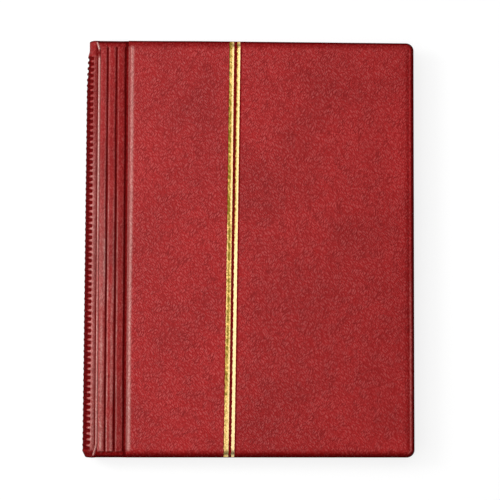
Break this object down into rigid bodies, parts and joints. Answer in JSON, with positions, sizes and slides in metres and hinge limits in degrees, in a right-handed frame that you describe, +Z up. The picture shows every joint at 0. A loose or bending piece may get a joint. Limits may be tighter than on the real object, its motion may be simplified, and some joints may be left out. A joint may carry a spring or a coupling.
{
  "type": "stamp album",
  "caption": "Padded stamp album with a ribbed round spine, welded hinge ridges, gold foil bands and pocket leaves.",
  "frame": {"origin": "under the middle of the closed album, on the surface it lies on", "axes": "+X from spine to fore-edge, +Y towards the head of the pages, +Z up from back cover to front cover"},
  "size_m": [0.21, 0.265, 0.019],
  "materials": {
    "leatherette": "satin",
    "lining_vinyl": "matte",
    "gold_foil": "satin",
    "foam": "matte",
    "greyboard": "matte",
    "page_card": "matte",
    "pocket_film": "gloss",
    "linen_tape": "matte",
    "glassine": "satin"
  },
  "bodies": {
    "back_cover": {"back_cover_skin": "leatherette", "back_foam_pad": "foam", "back_board": "greyboard", "back_lining": "lining_vinyl"},
    "back_hinge": {"back_hinge_skin": "leatherette", "back_hinge_padding": "foam", "back_hinge_lining": "lining_vinyl"},
    "spine": {"spine_skin": "leatherette", "spine_stiffener": "greyboard", "spine_lining": "lining_vinyl", "spine_backing": "greyboard"},
    "front_hinge": {"front_hinge_skin": "leatherette", "front_hinge_padding": "foam", "front_hinge_lining": "lining_vinyl"},
    "front_cover": {"front_cover_skin": "leatherette", "front_foam_pad": "foam", "front_board": "greyboard", "front_lining": "lining_vinyl", "gold_band_wide": "gold_foil", "gold_band_narrow": "gold_foil"},
    "leaf_1": {"leaf_1_card": "page_card", "leaf_1_tape": "linen_tape", "leaf_1_strips": "pocket_film"},
    "leaf_2": {"leaf_2_card": "page_card", "leaf_2_tape": "linen_tape", "leaf_2_strips": "pocket_film"},
    "leaf_3": {"leaf_3_card": "page_card", "leaf_3_tape": "linen_tape", "leaf_3_strips": "pocket_film"},
    "leaf_4": {"leaf_4_card": "page_card", "leaf_4_tape": "linen_tape", "leaf_4_strips": "pocket_film"},
    "leaf_5": {"leaf_5_card": "page_card", "leaf_5_tape": "linen_tape", "leaf_5_strips": "pocket_film"},
    "leaf_6": {"leaf_6_card": "page_card", "leaf_6_tape": "linen_tape", "leaf_6_strips": "pocket_film"},
    "leaf_7": {"leaf_7_card": "page_card", "leaf_7_tape": "linen_tape", "leaf_7_strips": "pocket_film"},
    "leaf_8": {"leaf_8_card": "page_card", "leaf_8_tape": "linen_tape", "leaf_8_strips": "pocket_film"},
    "interleaf_1": {"interleaf_1_sheet": "glassine"},
    "interleaf_2": {"interleaf_2_sheet": "glassine"},
    "interleaf_3": {"interleaf_3_sheet": "glassine"},
    "interleaf_4": {"interleaf_4_sheet": "glassine"},
    "interleaf_5": {"interleaf_5_sheet": "glassine"},
    "interleaf_6": {"interleaf_6_sheet": "glassine"},
    "interleaf_7": {"interleaf_7_sheet": "glassine"}
  },
  "joints": [
    {"name": "back_strip_lift", "type": "hinge", "parent": "back_cover", "child": "back_hinge", "pos_m": [-0.07957, 0, 0.00175], "axis": [0, -1, 0], "range_deg": [-22, 0]},
    {"name": "back_cover_opening", "type": "hinge", "parent": "back_hinge", "child": "spine", "pos_m": [-0.09697, 0, 0.00175], "axis": [0, -1, 0], "range_deg": [0, 112]},
    {"name": "front_cover_opening", "type": "hinge", "parent": "spine", "child": "front_hinge", "pos_m": [-0.09697, 0, 0.01721], "axis": [0, -1, 0], "range_deg": [0, 112]},
    {"name": "front_strip_settle", "type": "hinge", "parent": "front_hinge", "child": "front_cover", "pos_m": [-0.07957, 0, 0.01721], "axis": [0, -1, 0], "range_deg": [-22, 0]},
    {"name": "leaf_1_turn", "type": "hinge", "parent": "spine", "child": "leaf_1", "pos_m": [-0.09707, 0, 0.01361], "axis": [0, -1, 0], "range_deg": [0, 75]},
    {"name": "leaf_2_turn", "type": "hinge", "parent": "spine", "child": "leaf_2", "pos_m": [-0.09707, 0, 0.01243], "axis": [0, -1, 0], "range_deg": [0, 68]},
    {"name": "leaf_3_turn", "type": "hinge", "parent": "spine", "child": "leaf_3", "pos_m": [-0.09707, 0, 0.01125], "axis": [0, -1, 0], "range_deg": [0, 61]},
    {"name": "leaf_4_turn", "type": "hinge", "parent": "spine", "child": "leaf_4", "pos_m": [-0.09707, 0, 0.01007], "axis": [0, -1, 0], "range_deg": [0, 54]},
    {"name": "leaf_5_turn", "type": "hinge", "parent": "spine", "child": "leaf_5", "pos_m": [-0.09707, 0, 0.00889], "axis": [0, -1, 0], "range_deg": [-54, 0]},
    {"name": "leaf_6_turn", "type": "hinge", "parent": "spine", "child": "leaf_6", "pos_m": [-0.09707, 0, 0.00771], "axis": [0, -1, 0], "range_deg": [-61, 0]},
    {"name": "leaf_7_turn", "type": "hinge", "parent": "spine", "child": "leaf_7", "pos_m": [-0.09707, 0, 0.00653], "axis": [0, -1, 0], "range_deg": [-68, 0]},
    {"name": "leaf_8_turn", "type": "hinge", "parent": "spine", "child": "leaf_8", "pos_m": [-0.09707, 0, 0.00535], "axis": [0, -1, 0], "range_deg": [-75, 0]},
    {"name": "interleaf_1_turn", "type": "hinge", "parent": "spine", "child": "interleaf_1", "pos_m": [-0.09707, 0, 0.01302], "axis": [0, -1, 0], "range_deg": [0, 71.5]},
    {"name": "interleaf_2_turn", "type": "hinge", "parent": "spine", "child": "interleaf_2", "pos_m": [-0.09707, 0, 0.01184], "axis": [0, -1, 0], "range_deg": [0, 64.5]},
    {"name": "interleaf_3_turn", "type": "hinge", "parent": "spine", "child": "interleaf_3", "pos_m": [-0.09707, 0, 0.01066], "axis": [0, -1, 0], "range_deg": [0, 57.5]},
    {"name": "interleaf_4_turn", "type": "hinge", "parent": "spine", "child": "interleaf_4", "pos_m": [-0.09707, 0, 0.00948], "axis": [0, -1, 0], "range_deg": [0, 40]},
    {"name": "interleaf_5_turn", "type": "hinge", "parent": "spine", "child": "interleaf_5", "pos_m": [-0.09707, 0, 0.0083], "axis": [0, -1, 0], "range_deg": [-57.5, 0]},
    {"name": "interleaf_6_turn", "type": "hinge", "parent": "spine", "child": "interleaf_6", "pos_m": [-0.09707, 0, 0.00712], "axis": [0, -1, 0], "range_deg": [-64.5, 0]},
    {"name": "interleaf_7_turn", "type": "hinge", "parent": "spine", "child": "interleaf_7", "pos_m": [-0.09707, 0, 0.00594], "axis": [0, -1, 0], "range_deg": [-71.5, 0]}
  ],
  "couplings": [
    {"joint": "back_strip_lift", "follows": "back_cover_opening", "ratio": -0.19643},
    {"joint": "front_strip_settle", "follows": "front_cover_opening", "ratio": -0.19643},
    {"joint": "leaf_1_turn", "follows": "front_cover_opening", "ratio": 0.66964},
    {"joint": "leaf_2_turn", "follows": "front_cover_opening", "ratio": 0.60714},
    {"joint": "leaf_3_turn", "follows": "front_cover_opening", "ratio": 0.54464},
    {"joint": "leaf_4_turn", "follows": "front_cover_opening", "ratio": 0.48214},
    {"joint": "leaf_5_turn", "follows": "back_cover_opening", "ratio": -0.48214},
    {"joint": "leaf_6_turn", "follows": "back_cover_opening", "ratio": -0.54464},
    {"joint": "leaf_7_turn", "follows": "back_cover_opening", "ratio": -0.60714},
    {"joint": "leaf_8_turn", "follows": "back_cover_opening", "ratio": -0.66964},
    {"joint": "interleaf_1_turn", "follows": "front_cover_opening", "ratio": 0.63839},
    {"joint": "interleaf_2_turn", "follows": "front_cover_opening", "ratio": 0.57589},
    {"joint": "interleaf_3_turn", "follows": "front_cover_opening", "ratio": 0.51339},
    {"joint": "interleaf_4_turn", "follows": "front_cover_opening", "ratio": 0.35714},
    {"joint": "interleaf_5_turn", "follows": "back_cover_opening", "ratio": -0.51339},
    {"joint": "interleaf_6_turn", "follows": "back_cover_opening", "ratio": -0.57589},
    {"joint": "interleaf_7_turn", "follows": "back_cover_opening", "ratio": -0.63839}
  ]
}
